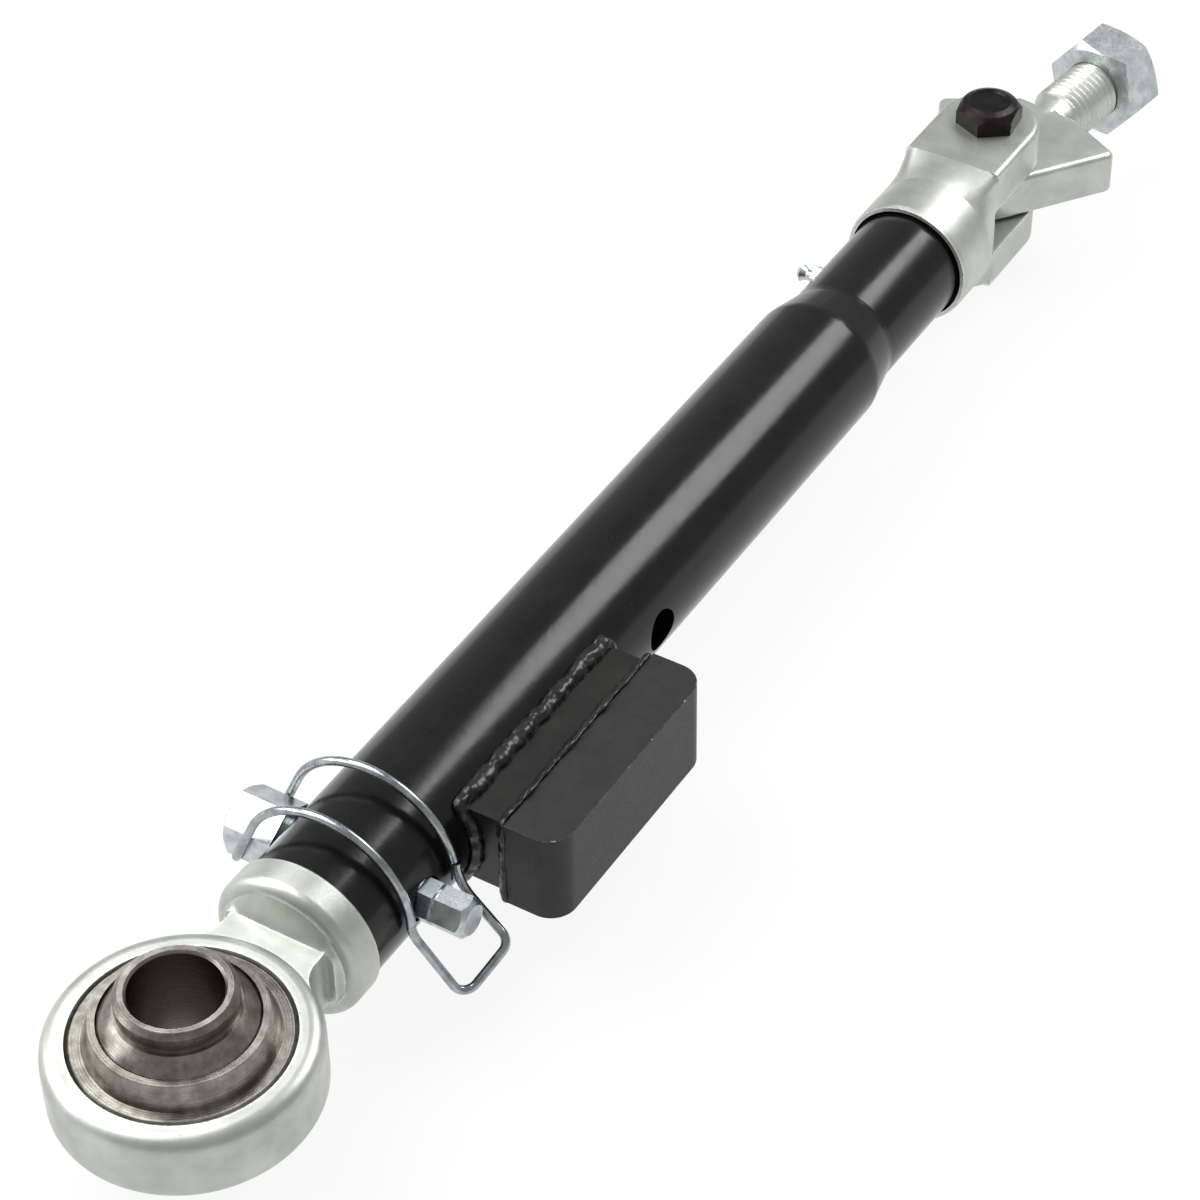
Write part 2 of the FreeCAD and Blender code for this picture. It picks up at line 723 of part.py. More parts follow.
def make_wire_bail():
    wire_radius = amount("wire_diameter / 2")
    hole_y = amount(PIN_HEAD + " + wire_hole_out")
    hole_z = -amount("wire_hole_drop")
    head = amount("pin_head_flats / 2")
    leg = head + wire_radius + amount("wire_play")
    inside = head - amount("wire_hole_depth")
    bow = amount("tube_diameter / 2 + bow_clearance")
    side = amount("bow_shift")
    rise = amount("bow_rise")
    corner = bow / math.cos(math.radians(amount("bow_turn") / 2))

    def over_tube(x):
        """Corners of the bow that each leg makes over the tube, which the bends turn into one arc."""
        first = amount("bow_start")
        step = amount("bow_turn")
        turns = [math.radians(first + step * count) for count in range(3)]
        return [V(x, side + corner * math.cos(turn), rise + corner * math.sin(turn)) for turn in turns]

    nip = V(0, side - bow, rise - amount("nip_drop"))
    front = [V(-inside, hole_y, hole_z), V(-leg, hole_y, hole_z), *over_tube(-leg), V(-leg, nip.y, nip.z)]
    back = [V(inside, hole_y, hole_z), V(leg, hole_y, hole_z), *over_tube(leg),
            V(leg, nip.y, nip.z + wire_radius)]
    tube_side = amount("tube_diameter / 2")
    loop = [V(-amount("loop_front_inset"), -tube_side - amount("loop_front_out"),
              -amount("loop_front_drop")),
            V(amount("loop_back_inset"), -tube_side - amount("loop_back_out"), -amount("loop_back_drop"))]
    bend = amount("wire_bend")
    nip_bend = amount("wire_nip")
    loop_bend = amount("loop_bend")
    bends = [bend, bow, bow, bow, nip_bend, loop_bend, loop_bend, nip_bend, bow, bow, bow, bend]
    pin = V(amount(PIN_PLACE), 0, 0)
    path = rounded_path([pin + point for point in front + loop + back[::-1]], bends)
    start = path.Edges[0].valueAt(path.Edges[0].FirstParameter)
    profile = Part.Wire(Part.Circle(start, X_AXIS, wire_radius).toShape())
    made = document.addObject("Part::Feature", "bail")
    made.Shape = path.makePipeShell([profile], True, True)
    return node(made, "wire_bail")


# Grease nipple with its spring-loaded ball
def make_grease_nipple():
    body = new_body("nipple")
    seat = "nipple_base"
    head = "nipple_length"
    channel = "nipple_channel / 2"
    profile = polygon(new_sketch(body, "XZ_Plane"), [
        ("nipple_mouth / 2", head),
        ("nipple_head / 2 - nipple_head_round", head),
        ("nipple_head / 2", head + " - nipple_head_round"),
        ("nipple_neck / 2", head + " - nipple_head_length"),
        ("nipple_neck / 2", seat),
        ("nipple_flats / 2", seat),
        ("nipple_flats / 2", "0"),
        ("nipple_screw / 2", "0"),
        ("nipple_screw / 2", "- nipple_screw_length"),
        (channel, "- nipple_screw_length"),
        (channel, head + " - nipple_ball"),
        ("nipple_mouth / 2", head + " - nipple_ball / 2"),
    ])
    revolve(body, profile, axis="V_Axis")
    nut = hexagon(new_sketch(body, "XY_Plane"), "nipple_flats")
    pad(body, nut, seat, "flats", both_ways=False)
    pocket(body, circle(new_sketch(body, "XY_Plane"), "0", "0", channel), "channel", length=seat,
           both_ways=False, back=True)
    body.Placement = FreeCAD.Placement(ORIGIN, FreeCAD.Rotation(X_AXIS, -90))
    bind(body, "Placement.Base.x", NIPPLE_PLACE)
    bind(body, "Placement.Base.y", SMALL_RADIUS)
    return node(body, "grease_nipple")


def make_nipple_ball():
    ball = sphere("nipple_sphere", "nipple_ball / 2", x=NIPPLE_PLACE,
                  y=SMALL_RADIUS + " + nipple_length - nipple_ball / 2 - nipple_ball / 2 - running_fit")
    return node(ball, "nipple_ball")


# Clevis: dust cup, fork with two ears, and the screw that goes into the tube
def make_clevis():
    body = new_body("fork")
    screw = SCREW_RADIUS + " - running_fit"
    screw_tip = TUBE_END + " - screw_engaged"
    profile = polygon(new_sketch(body, "XZ_Plane"), [
        (screw_tip, "0"),
        (screw_tip, screw + " - screw_chamfer"),
        (screw_tip + " + screw_chamfer", screw),
        (CUP_FLOOR, screw),
        (CUP_FLOOR, CUP_RADIUS + " - cup_wall"),
        (CUP_LIP, CUP_RADIUS + " - cup_wall"),
        (CUP_LIP, CUP_RADIUS + " - cup_wall / 4"),
        (CUP_LIP + " + cup_wall", CUP_RADIUS),
        (SHOULDER, CUP_RADIUS),
        (SHOULDER, "0"),
    ])
    revolve(body, profile, "cup_and_screw")
    ring = circle(new_sketch(body, "YZ_Plane", SHOULDER), "0", "0", CUP_RADIUS)
    square = rounded_rectangle(new_sketch(body, "YZ_Plane", FORK_ROOT), "fork_width / 2", "fork_height / 2",
                               "fork_edge + fork_edge")
    loft = feature(body, "AdditiveLoft", ring, "shoulder")
    loft.Sections = [(square, [""])]
    ears = polygon(new_sketch(body, "XY_Plane"), [
        (FORK_ROOT, "- fork_width / 2"),
        (PIVOT_PLACE, "- fork_width / 2"),
        (PIVOT_PLACE, "fork_width / 2"),
        (FORK_ROOT, "fork_width / 2"),
    ])
    pad(body, ears, "fork_height", "ears")
    ear_end = circle(new_sketch(body, "XY_Plane"), PIVOT_PLACE, "0", "fork_width / 2")
    pad(body, ear_end, "fork_height", "ear_ends")
    root = amount(FORK_ROOT)
    top = amount("fork_height / 2")
    shortest = amount("fork_edge")

    def ear_rim(edge, middle):
        return middle.x > root + NEAR and abs(abs(middle.z) - top) < NEAR and edge.Length > shortest

    soften(body, "Fillet", "fork_edge", ear_rim, "ear_edges")
    slot = polygon(new_sketch(body, "XZ_Plane"), [
        (FORK_ROOT + " - throat_sink", "- fork_slot / 2"),
        (PIVOT_PLACE + " + fork_width", "- fork_slot / 2"),
        (PIVOT_PLACE + " + fork_width", "fork_slot / 2"),
        (FORK_ROOT + " - throat_sink", "fork_slot / 2"),
    ])
    pocket(body, slot, "slot")
    pocket(body, circle(new_sketch(body, "XY_Plane"), PIVOT_PLACE, "0", BOLT_FIT), "bolt_hole")
    return node(body, "clevis")


def make_dust_seal():
    body = new_body("seal")
    start = CUP_LIP + " + seal_inset"
    inner = SMALL_RADIUS + " + running_fit"
    outer = SMALL_RADIUS + " + seal_room - running_fit"
    profile = polygon(new_sketch(body, "XZ_Plane"), [
        (start, inner),
        (start, outer),
        (start + " + seal_width", outer),
        (start + " + seal_width", inner),
    ])
    revolve(body, profile)
    return node(body, "dust_seal")


# Pivot bolt with its nut, lock ring and bush
def rolled_hexagon(body, offset):
    """A sketch with the pivot bolt's hexagon, rolled about the bolt as in the real part."""
    sketch = new_sketch(body, "XY_Plane", offset)
    bind(sketch, "AttachmentOffset.Rotation.Angle", "bolt_roll")
    return hexagon(sketch, "bolt_flats", turned=True)


def make_pivot_bolt():
    body = new_body("bolt")
    top = "fork_height / 2 + bolt_head_height"
    pad(body, rolled_hexagon(body, "fork_height / 2"), "bolt_head_height", "head", both_ways=False)
    end = "- fork_height / 2 - nut_height - bolt_past_nut"
    shank = polygon(new_sketch(body, "XZ_Plane"), [
        ("0", end),
        ("bolt_diameter / 2 - bolt_past_nut", end),
        ("bolt_diameter / 2", end + " + bolt_past_nut"),
        ("bolt_diameter / 2", "fork_height / 2"),
        ("0", "fork_height / 2"),
    ])
    revolve(body, shank, "shank", axis="V_Axis")
    rounding = polygon(new_sketch(body, "XZ_Plane"), [
        ("bolt_flats / 2 - head_round", top),
        ("bolt_flats", top),
        ("bolt_flats", top + " - head_round - head_round"),
        ("bolt_flats / 2 + head_round / 2", top + " - head_round - head_round / 4"),
        ("bolt_flats / 2 - head_round / 4", top + " - head_round / 3"),
    ])
    revolve(body, rounding, "crown", axis="V_Axis", kind="Groove")
    dish = polygon(new_sketch(body, "XZ_Plane"), [
        ("0", top),
        ("dish_diameter / 2", top),
        ("dish_diameter / 2 - dish_depth", top + " - dish_depth"),
        ("0", top + " - dish_depth"),
    ])
    revolve(body, dish, "dish", axis="V_Axis", kind="Groove")
    bind(body, "Placement.Base.x", PIVOT_PLACE)
    return node(body, "pivot_bolt")


def make_pivot_nut():
    body = new_body("lock_nut")
    face = "- fork_height / 2"
    pad(body, rolled_hexagon(body, face + " - nut_hex_height"), "nut_hex_height", "hexagon", both_ways=False)
    crown = "nut_crown_diameter / 2"
    ring_room = "bolt_diameter / 2 + ring_thickness"
    profile = polygon(new_sketch(body, "XZ_Plane"), [
        ("0", face),
        (crown, face),
        (crown, face + " - nut_height + ring_lip"),
        (crown + " - ring_lip", face + " - nut_height"),
        ("0", face + " - nut_height"),
    ])
    revolve(body, profile, "crown", axis="V_Axis")
    trim = polygon(new_sketch(body, "XZ_Plane"), [
        ("bolt_flats / 2", face + " - nut_hex_height"),
        ("bolt_flats", face + " - nut_hex_height"),
        ("bolt_flats", face + " - nut_hex_height + bolt_flats / 4"),
    ])
    revolve(body, trim, "corners", axis="V_Axis", kind="Groove")
    hollow = polygon(new_sketch(body, "XZ_Plane"), [
        ("0", face),
        (BOLT_FIT, face),
        (BOLT_FIT, face + " - nut_height + ring_lip + ring_height"),
        (ring_room, face + " - nut_height + ring_lip + ring_height"),
        (ring_room, face + " - nut_height + ring_lip"),
        (ring_room + " - ring_lip", face + " - nut_height + ring_lip"),
        (ring_room + " - ring_lip", face + " - nut_height"),
        ("0", face + " - nut_height"),
    ])
    revolve(body, hollow, "thread_and_ring_groove", axis="V_Axis", kind="Groove")
    bind(body, "Placement.Base.x", PIVOT_PLACE)
    return node(body, "pivot_nut")


def make_nut_lock_ring():
    body = new_body("lock_ring")
    outer = "bolt_diameter / 2 + ring_thickness - running_fit"
    low = "- fork_height / 2 - nut_height + ring_lip + running_fit"
    profile = polygon(new_sketch(body, "XZ_Plane"), [
        (BOLT_FIT, low),
        (outer, low),
        (outer, low + " + ring_height - running_fit - running_fit"),
        (BOLT_FIT, low + " + ring_height - running_fit - running_fit"),
    ])
    revolve(body, profile, axis="V_Axis")
    bind(body, "Placement.Base.x", PIVOT_PLACE)
    return node(body, "nut_lock_ring")


def make_pivot_bush():
    height = "fork_slot - face_gap"
    foot = "- fork_slot / 2 + face_gap / 2"
    tube = cylinder("bush_outer", "bolt_diameter / 2 + bush_wall", height, PIVOT_PLACE, z=foot)
    hole = cylinder("bush_hole", BOLT_FIT, height, PIVOT_PLACE, z=foot)
    return node(cut("bush", tube, hole), "pivot_bush")


# Swinging arm: tongue with two wings, and the threaded stud
def make_swing_arm():
    body = new_body("arm")
    reach = amount("arm_end_radius")
    corners = [
        ("wing_place + wing_skew", "- wing_half_width"),
        ("wing_back", "- wing_back_half_width"),
        ("wing_back", "wing_back_half_width"),
        ("wing_place - wing_skew", "wing_half_width"),
    ]
    spots = [V(amount(x), amount(y), 0) for x, y in corners]

    def touch(corner, side):
        """Where the line from a wing's corner touches the arm's round end."""
        angle = side * (math.atan2(abs(corner.y), corner.x) + math.acos(reach / corner.Length))
        return V(reach * math.cos(angle), reach * math.sin(angle), 0)

    right = touch(spots[0], -1)
    left = touch(spots[-1], 1)
    plan = new_sketch(body, "XY_Plane")
    plan.addGeometry(Part.Arc(left, V(-reach, 0, 0), right))
    outline = [right, *spots, left]
    for here, there in zip(outline, outline[1:]):
        plan.addGeometry(Part.LineSegment(here, there))
    plan.addConstraint(Sketcher.Constraint("Coincident", 0, 3, -1, 1))
    size = plan.addConstraint(Sketcher.Constraint("Radius", 0, reach))
    bind(plan, f"Constraints[{size}]", "arm_end_radius")
    for line in range(1, 5):
        plan.addConstraint(Sketcher.Constraint("Coincident", line, 2, line + 1, 1))
    arc_ends = (1, 2) if plan.getPoint(0, 1).y < 0 else (2, 1)
    plan.addConstraint(Sketcher.Constraint("Tangent", 0, arc_ends[0], 1, 1))
    plan.addConstraint(Sketcher.Constraint("Tangent", 0, arc_ends[1], 5, 2))
    for line, corner in zip(range(2, 6), corners):
        place_point(plan, line, 1, *corner)
    pad(body, plan, "arm_thickness", "plate")
    tips = [spots[0], spots[-1]]

    def wing_corner(edge, middle):
        return any(math.hypot(middle.x - tip.x, middle.y - tip.y) < NEAR for tip in tips)

    soften(body, "Fillet", "wing_round", wing_corner, "wing_corners")
    top = amount("arm_thickness / 2")
    soften(body, "Fillet", "arm_edge",
           lambda edge, middle: abs(abs(middle.z) - top) < NEAR and middle.x > 0, "plate_edges")
    root = "stud_root_diameter / 2"
    profile = polygon(new_sketch(body, "XZ_Plane"), [
        ("wing_place", "0"),
        ("wing_place", root + " - arm_edge"),
        ("wing_back", root + " - stud_chamfer / 2"),
        ("stud_thread_start - stud_chamfer", root),
        ("stud_thread_start", "stud_diameter / 2"),
        ("stud_length - stud_chamfer", "stud_diameter / 2"),
        ("stud_length", "stud_diameter / 2 - stud_chamfer"),
        ("stud_length", "0"),
    ])
    revolve(body, profile, "stud")
    bore = circle(new_sketch(body, "XY_Plane"), "0", "0", "bolt_diameter / 2 + bush_wall + running_fit")
    pocket(body, bore, "bush_bore")
    turn_about_pivot(body)
    return node(body, "swing_arm")


def turn_about_pivot(made):
    made.Placement = FreeCAD.Placement(ORIGIN, FreeCAD.Rotation(Z_AXIS, 0))
    bind(made, "Placement.Base.x", PIVOT_PLACE)
    bind(made, "Placement.Rotation.Angle", "arm_angle")


def make_stud_nut():
    body = new_body("big_nut")
    sketch = new_sketch(body, "YZ_Plane", "stud_nut_place")
    bind(sketch, "AttachmentOffset.Rotation.Angle", "stud_nut_roll")
    pad(body, hexagon(sketch, "stud_nut_flats", turned=True), "stud_nut_height", "hexagon", both_ways=False)
    hole = circle(new_sketch(body, "YZ_Plane"), "0", "0", "stud_diameter / 2 + running_fit")
    pocket(body, hole, "thread")
    face = "stud_nut_flats / 2 - stud_nut_chamfer"
    ends = []
    for name, start, end in (("big_nut_near", face, face + " + stud_nut_height * nut_cone_reach"),
                             ("big_nut_far", face + " + stud_nut_height * nut_cone_reach", face)):
        ends.append(cone(name, start, end, "stud_nut_height", "stud_nut_place", axis="x"))
    made = overlap("big_nut_cut", body, overlap("big_nut_envelope", *ends))
    turn_about_pivot(made)
    return node(made, "stud_nut")


for make in (make_eye_end, make_ball_race, make_swivel_ball, make_outer_tube, make_stop_block,
             make_block_web, make_weld_beads, make_lock_pin, make_wire_bail, make_grease_nipple,
             make_nipple_ball, make_clevis,
             make_dust_seal, make_pivot_bolt, make_pivot_nut, make_nut_lock_ring, make_pivot_bush,
             make_swing_arm, make_stud_nut):
    make()
document.recompute()

for made in document.Objects:
    if any(word in ("Invalid", "Error") for word in made.State):
        raise RuntimeError(f"{made.Label} could not be built: {made.State}")
for made in nodes:
    if made.Shape.isNull() or not made.Shape.isValid():
        raise RuntimeError(f"{made.Label} has no valid shape")
for made in nodes:
    made.Shape.exportStep(f"parts/{made.Label}.step")
    room = made.Shape.BoundBox
    print(f"{made.Label}: {len(made.Shape.Solids)} solid(s), {made.Shape.Volume:.0f} mm3, "
          f"x {room.XMin:.1f}..{room.XMax:.1f} y {room.YMin:.1f}..{room.YMax:.1f} "
          f"z {room.ZMin:.1f}..{room.ZMax:.1f}")
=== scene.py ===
import bpy
import json
import math
from mathutils import Matrix, Vector


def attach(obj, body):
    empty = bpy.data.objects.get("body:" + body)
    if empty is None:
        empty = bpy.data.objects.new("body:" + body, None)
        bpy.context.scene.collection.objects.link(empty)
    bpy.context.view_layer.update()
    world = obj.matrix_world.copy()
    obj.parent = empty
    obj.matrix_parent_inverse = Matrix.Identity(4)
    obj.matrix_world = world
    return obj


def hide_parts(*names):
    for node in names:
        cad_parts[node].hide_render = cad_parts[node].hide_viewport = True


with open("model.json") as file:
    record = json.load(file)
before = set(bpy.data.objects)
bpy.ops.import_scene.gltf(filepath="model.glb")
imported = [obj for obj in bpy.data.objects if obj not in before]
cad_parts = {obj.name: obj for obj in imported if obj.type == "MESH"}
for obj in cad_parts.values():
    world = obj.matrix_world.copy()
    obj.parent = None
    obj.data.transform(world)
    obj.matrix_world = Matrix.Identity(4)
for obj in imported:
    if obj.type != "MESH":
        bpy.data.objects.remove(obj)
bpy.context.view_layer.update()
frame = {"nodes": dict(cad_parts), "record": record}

# Sizes of the stabilizer, in metres, in the CAD part's frame
MM = 0.001
PIVOT = Vector((516, 0, 0)) * MM
ARM_ANGLE = math.radians(-7.5)
# From the arm's own frame, with its stud along X from the pivot, to the part's frame
ARM_PLACE = Matrix.Translation(PIVOT) @ Matrix.Rotation(ARM_ANGLE, 4, "Z")
STUD_RADIUS = 12 * MM
STUD_LENGTH = 95 * MM
THREAD_START = 52 * MM
THREAD_PITCH = 3 * MM
THREAD_DEPTH = 1.5 * MM
LOWEST = -41 * MM
PART_MIDDLE = Vector((0.28, 0, 0))
TUBE_MIDDLE = Vector((0.25, 0, 0))

# The groove that cuts the thread: how far it stands out of the stud, its mouth as a share of the
# pitch, its root as a share of the mouth, and how many pitches before the thread it starts
GROOVE_PROUD = 0.3 * MM
GROOVE_MOUTH = 0.96
GROOVE_ROOT = 0.12
GROOVE_LEAD = 1.5
GROOVE_STEPS = 32
THREAD_SMOOTH_ANGLE = math.radians(32)

# The painted shade in the ball's bore fades in between these two distances from the ball's axis
BORE_EDGE = 14.9 * MM
BORE_INSIDE = 14.5 * MM

# Colours of what lies on or shows through the finishes
DUST = "#5a5856"
RUBBED_PAINT = "#6b6a68"
BARE_STEEL = "#a8a5a0"
ZINC_PITS = "#6d706b"
TURNING_MARKS = "#6e6a64"


# ---------- Colours and nodes ----------
def linear(hex_colour):
    """An sRGB hex colour as the linear RGBA that the shaders read."""
    parts = [int(hex_colour[i:i + 2], 16) / 255 for i in (1, 3, 5)]
    return [p / 12.92 if p <= 0.04045 else ((p + 0.055) / 1.055) ** 2.4 for p in parts] + [1]


def add(tree, kind, settings=None, **inputs):
    """A node with its settings, its inputs set to values or linked to other nodes' outputs.

    An input is named as in Blender, with _ for a space, or by i and its number.
    """
    node = tree.nodes.new("ShaderNode" + kind)
    for name, value in (settings or {}).items():
        setattr(node, name, value)
    for name, value in inputs.items():
        numbered = name[1:].isdigit()
        socket = node.inputs[int(name[1:]) if numbered else name.replace("_", " ")]
        if isinstance(value, bpy.types.NodeSocket):
            tree.links.new(value, socket)
        else:
            socket.default_value = value
    return node


def finish(name, colour, roughness, metallic=0.0):
    """A new material of one plain colour, its tree, its shader and its Object coordinates."""
    material = bpy.data.materials.new(name)
    material.use_nodes = True
    tree = material.node_tree
    shader = tree.nodes["Principled BSDF"]
    shader.inputs["Base Color"].default_value = linear(colour)
    shader.inputs["Roughness"].default_value = roughness
    shader.inputs["Metallic"].default_value = metallic
    place = add(tree, "TexCoord").outputs["Object"]
    return material, tree, shader, place


def noise(tree, place, grain_mm, detail=3.0, rough=0.6):
    """Noise whose grains are about the given size in millimetres."""
    grains = add(tree, "TexNoise", Vector=place, Scale=1 / (grain_mm * MM),
                 Detail=detail, Roughness=rough)
    return grains.outputs["Fac"]


def between(tree, value, low, high, start, end):
    """The value spread from low..high to start..end, and held at the ends."""
    spread = add(tree, "MapRange", i0=value, i1=low, i2=high, i3=start, i4=end)
    return spread.outputs["Result"]


def mottled(tree, cloud, low, high, first, second):
    """One colour turning into another as the cloud's value goes from low to high."""
    ramp = add(tree, "ValToRGB", Fac=between(tree, cloud, low, high, 0, 1))
    ramp.color_ramp.elements[0].color = linear(first)
    ramp.color_ramp.elements[1].color = linear(second)
    return ramp.outputs["Color"]


def layered(tree, share, under, over):
    """The hex colour over laid on the colour under, as much as the share says."""
    return add(tree, "MixRGB", Fac=share, Color1=under, Color2=linear(over)).outputs["Color"]


def times(tree, first, second):
    """The product of two values."""
    return add(tree, "Math", {"operation": "MULTIPLY"}, i0=first, i1=second).outputs["Value"]


def larger(tree, first, second):
    """The larger of two values."""
    return add(tree, "Math", {"operation": "MAXIMUM"}, i0=first, i1=second).outputs["Value"]


def edges(tree, reach_mm):
    """1 along a piece's sharp edges, where the rounded normal leaves the true one, 0 on flats."""
    on_flat, on_edge = 0.995, 0.86
    rounded = add(tree, "Bevel", {"samples": 6}, Radius=reach_mm * MM).outputs["Normal"]
    true = add(tree, "NewGeometry").outputs["Normal"]
    same = add(tree, "VectorMath", {"operation": "DOT_PRODUCT"}, i0=rounded, i1=true)
    return between(tree, same.outputs["Value"], on_flat, on_edge, 0, 1)


def colour_with(tree, shader, colour):
    """The shader takes its colour from a node."""
    tree.links.new(colour, shader.inputs["Base Color"])


def dull_with(tree, shader, grain, low, high, smoothest, roughest):
    """The shader's roughness follows the grain, from smoothest at low to roughest at high."""
    sheen = between(tree, grain, low, high, smoothest, roughest)
    tree.links.new(sheen, shader.inputs["Roughness"])


def roughen(tree, shader, height, depth_mm):
    """The shader's surface rises and falls with the height, by about the depth in millimetres."""
    bump = add(tree, "Bump", Height=height, Distance=depth_mm * MM)
    tree.links.new(bump.outputs["Normal"], shader.inputs["Normal"])


# ---------- Finishes ----------
def gloss_paint(name, colour, lighter, roughness, specular=0.3, orange_peel_mm=0.02,
                grain_mm=2.2):
    """Enamel over drawn steel: dark, wet-looking, with orange peel and a few dust specks."""
    material, tree, shader, place = finish(name, colour, roughness)
    shader.inputs["Specular IOR Level"].default_value = specular
    body = mottled(tree, noise(tree, place, 14), 0.35, 0.7, colour, lighter)
    specks = between(tree, noise(tree, place, 0.8, 1), 0.76, 0.8, 0, 0.5)
    colour_with(tree, shader, layered(tree, specks, body, DUST))
    dull_with(tree, shader, noise(tree, place, 6), 0.3, 0.7, roughness, roughness + 0.06)
    roughen(tree, shader, noise(tree, place, grain_mm, 2), orange_peel_mm)
    return material


def chipped_paint(name, colour, lighter, roughness):
    """Satin enamel on the flame-cut block: rubbed pale and in places chipped along its edges."""
    material, tree, shader, place = finish(name, colour, roughness)
    shader.inputs["Specular IOR Level"].default_value = 0.3
    grain = noise(tree, place, 0.9, 4, 0.7)
    body = mottled(tree, noise(tree, place, 9), 0.35, 0.7, colour, lighter)
    rim = edges(tree, 0.9)
    lighter_edges = times(tree, rim, between(tree, grain, 0.46, 0.6, 0, 0.4))
    chipped = times(tree, rim, between(tree, noise(tree, place, 5), 0.64, 0.67, 0, 1))
    body = layered(tree, lighter_edges, body, RUBBED_PAINT)
    colour_with(tree, shader, layered(tree, chipped, body, BARE_STEEL))
    dull_with(tree, shader, grain, 0.35, 0.65, roughness - 0.06, roughness + 0.08)
    roughen(tree, shader, grain, 0.03)
    return material


def rough_zinc(name, dull, bright, worn_and_highlight):
    """Zinc plate over a shot-blasted forging: fine-grained, lightened along its edges by real
    wear and by a painted highlight.
    """
    material, tree, shader, place = finish(name, dull, 0.42, 0.85)
    grain = noise(tree, place, 0.7, 4, 0.75)
    body = mottled(tree, noise(tree, place, 16), 0.3, 0.72, dull, bright)
    rim = edges(tree, 2.2)
    # Lighter edges: partly rubbed zinc, partly a painted highlight along every edge
    lighter_edges = times(tree, rim, between(tree, grain, 0.44, 0.56, 0.25, 1))
    pits = times(tree, rim, between(tree, noise(tree, place, 0.8, 2), 0.6, 0.66, 0, 0.75))
    body = layered(tree, lighter_edges, body, worn_and_highlight)
    colour_with(tree, shader, layered(tree, pits, body, ZINC_PITS))
    dull_with(tree, shader, grain, 0.35, 0.65, 0.34, 0.46)
    roughen(tree, shader, grain, 0.05)
    return material


def turned_steel(name, colour, lighter, bore_shade, roughness):
    """Lathe-turned steel: bright, ringed about the ball's axis, with painted shade in its bore.
    """
    material, tree, shader, place = finish(name, colour, roughness, 1.0)
    shader.inputs["Anisotropic"].default_value = 0.5
    along = add(tree, "SeparateXYZ", Vector=place).outputs
    across = add(tree, "CombineXYZ", X=along["X"], Y=along["Y"]).outputs["Vector"]
    radius = add(tree, "VectorMath", {"operation": "LENGTH"}, i0=across).outputs["Value"]
    ring = add(tree, "CombineXYZ", X=radius, Z=along["Z"]).outputs["Vector"]
    rings = noise(tree, ring, 0.6, 3, 0.7)
    body = mottled(tree, noise(tree, place, 5), 0.35, 0.68, colour, lighter)
    body = layered(tree, between(tree, rings, 0.3, 0.7, 0, 0.5), body, TURNING_MARKS)
    # Painted shade: the colour turns darker inside the bore, where shade falls
    inside = between(tree, radius, BORE_EDGE, BORE_INSIDE, 0, 1)
    colour_with(tree, shader, layered(tree, inside, body, bore_shade))
    dull_with(tree, shader, rings, 0.3, 0.7, roughness - 0.08, roughness + 0.1)
    roughen(tree, shader, rings, 0.03)
    return material


def plain_metal(name, colour, lighter, roughness):
    """Plated or drawn steel: smooth, with slight changes of sheen."""
    material, tree, shader, place = finish(name, colour, roughness, 1.0)
    grain = noise(tree, place, 0.8, 3, 0.7)
    colour_with(tree, shader, mottled(tree, noise(tree, place, 5), 0.35, 0.68, colour, lighter))
    dull_with(tree, shader, grain, 0.3, 0.7, roughness - 0.06, roughness + 0.12)
    roughen(tree, shader, grain, 0.012)
    return material


FINISHES = {
    "tube_paint": gloss_paint("black_gloss_enamel", "#0d0d0d", "#131313", 0.16),
    "block_paint": chipped_paint("satin_black_enamel", "#202020", "#292929", 0.42),
    "weld_paint": gloss_paint("gloss_enamel_over_weld", "#141413", "#1f1f1d", 0.26,
                              specular=0.4, orange_peel_mm=0.05, grain_mm=1.5),
    # The last colour is worn zinc together with a painted edge highlight
    "forging_zinc": rough_zinc("zinc_plated_forging", "#abafa8", "#c8cbc5", worn_and_highlight="#f0f1ed"),
    # The last colour is painted shade inside the ball's bore
    "machined_steel": turned_steel("turned_steel", "#716e68", "#a3a099", "#77736c", 0.26),
    "bright_zinc": plain_metal("bright_zinc_plate", "#aeb7b8", "#d0d6d6", 0.3),
    "spring_wire": plain_metal("polished_spring_wire", "#8d9093", "#b9bcbe", 0.22),
    "black_oxide": plain_metal("black_oxide_steel", "#262424", "#343131", 0.36),
    "bush_steel": plain_metal("plain_bearing_steel", "#85827d", "#97948f", 0.4),
    "seal_rubber": gloss_paint("nitrile_rubber", "#101010", "#161616", 0.7),
    "lock_nylon": gloss_paint("black_nylon", "#141517", "#1c1d20", 0.45),
}


# ---------- Pieces ----------
def lay_finishes():
    """Each CAD node takes the finish of its slot in the record."""
    for part in frame["record"]["subparts"]:
        for slot in frame["nodes"][part["node"]].material_slots:
            slot.material = FINISHES[part["material_slot"]]


def select_only(piece):
    bpy.ops.object.select_all(action="DESELECT")
    piece.select_set(True)
    bpy.context.view_layer.objects.active = piece


def welded_copy(node, name):
    """A copy of a CAD node with its loose triangles merged, to be shaped further."""
    piece = frame["nodes"][node].copy()
    piece.data = piece.data.copy()
    piece.name = name
    bpy.context.collection.objects.link(piece)
    select_only(piece)
    bpy.ops.object.mode_set(mode="EDIT")
    bpy.ops.mesh.select_all(action="SELECT")
    bpy.ops.mesh.remove_doubles(threshold=0.01 * MM)
    bpy.ops.object.mode_set(mode="OBJECT")
    return piece


def modify(piece, kind, **settings):
    """The piece shaped by a modifier, which is applied at once."""
    select_only(piece)
    modifier = piece.modifiers.new(kind.lower(), kind)
    for name, value in settings.items():
        setattr(modifier, name, value)
    bpy.ops.object.modifier_apply(modifier=modifier.name)


def only_finish(piece, slot_name):
    """The piece keeps one material, that of the slot."""
    piece.data.materials.clear()
    piece.data.materials.append(FINISHES[slot_name])


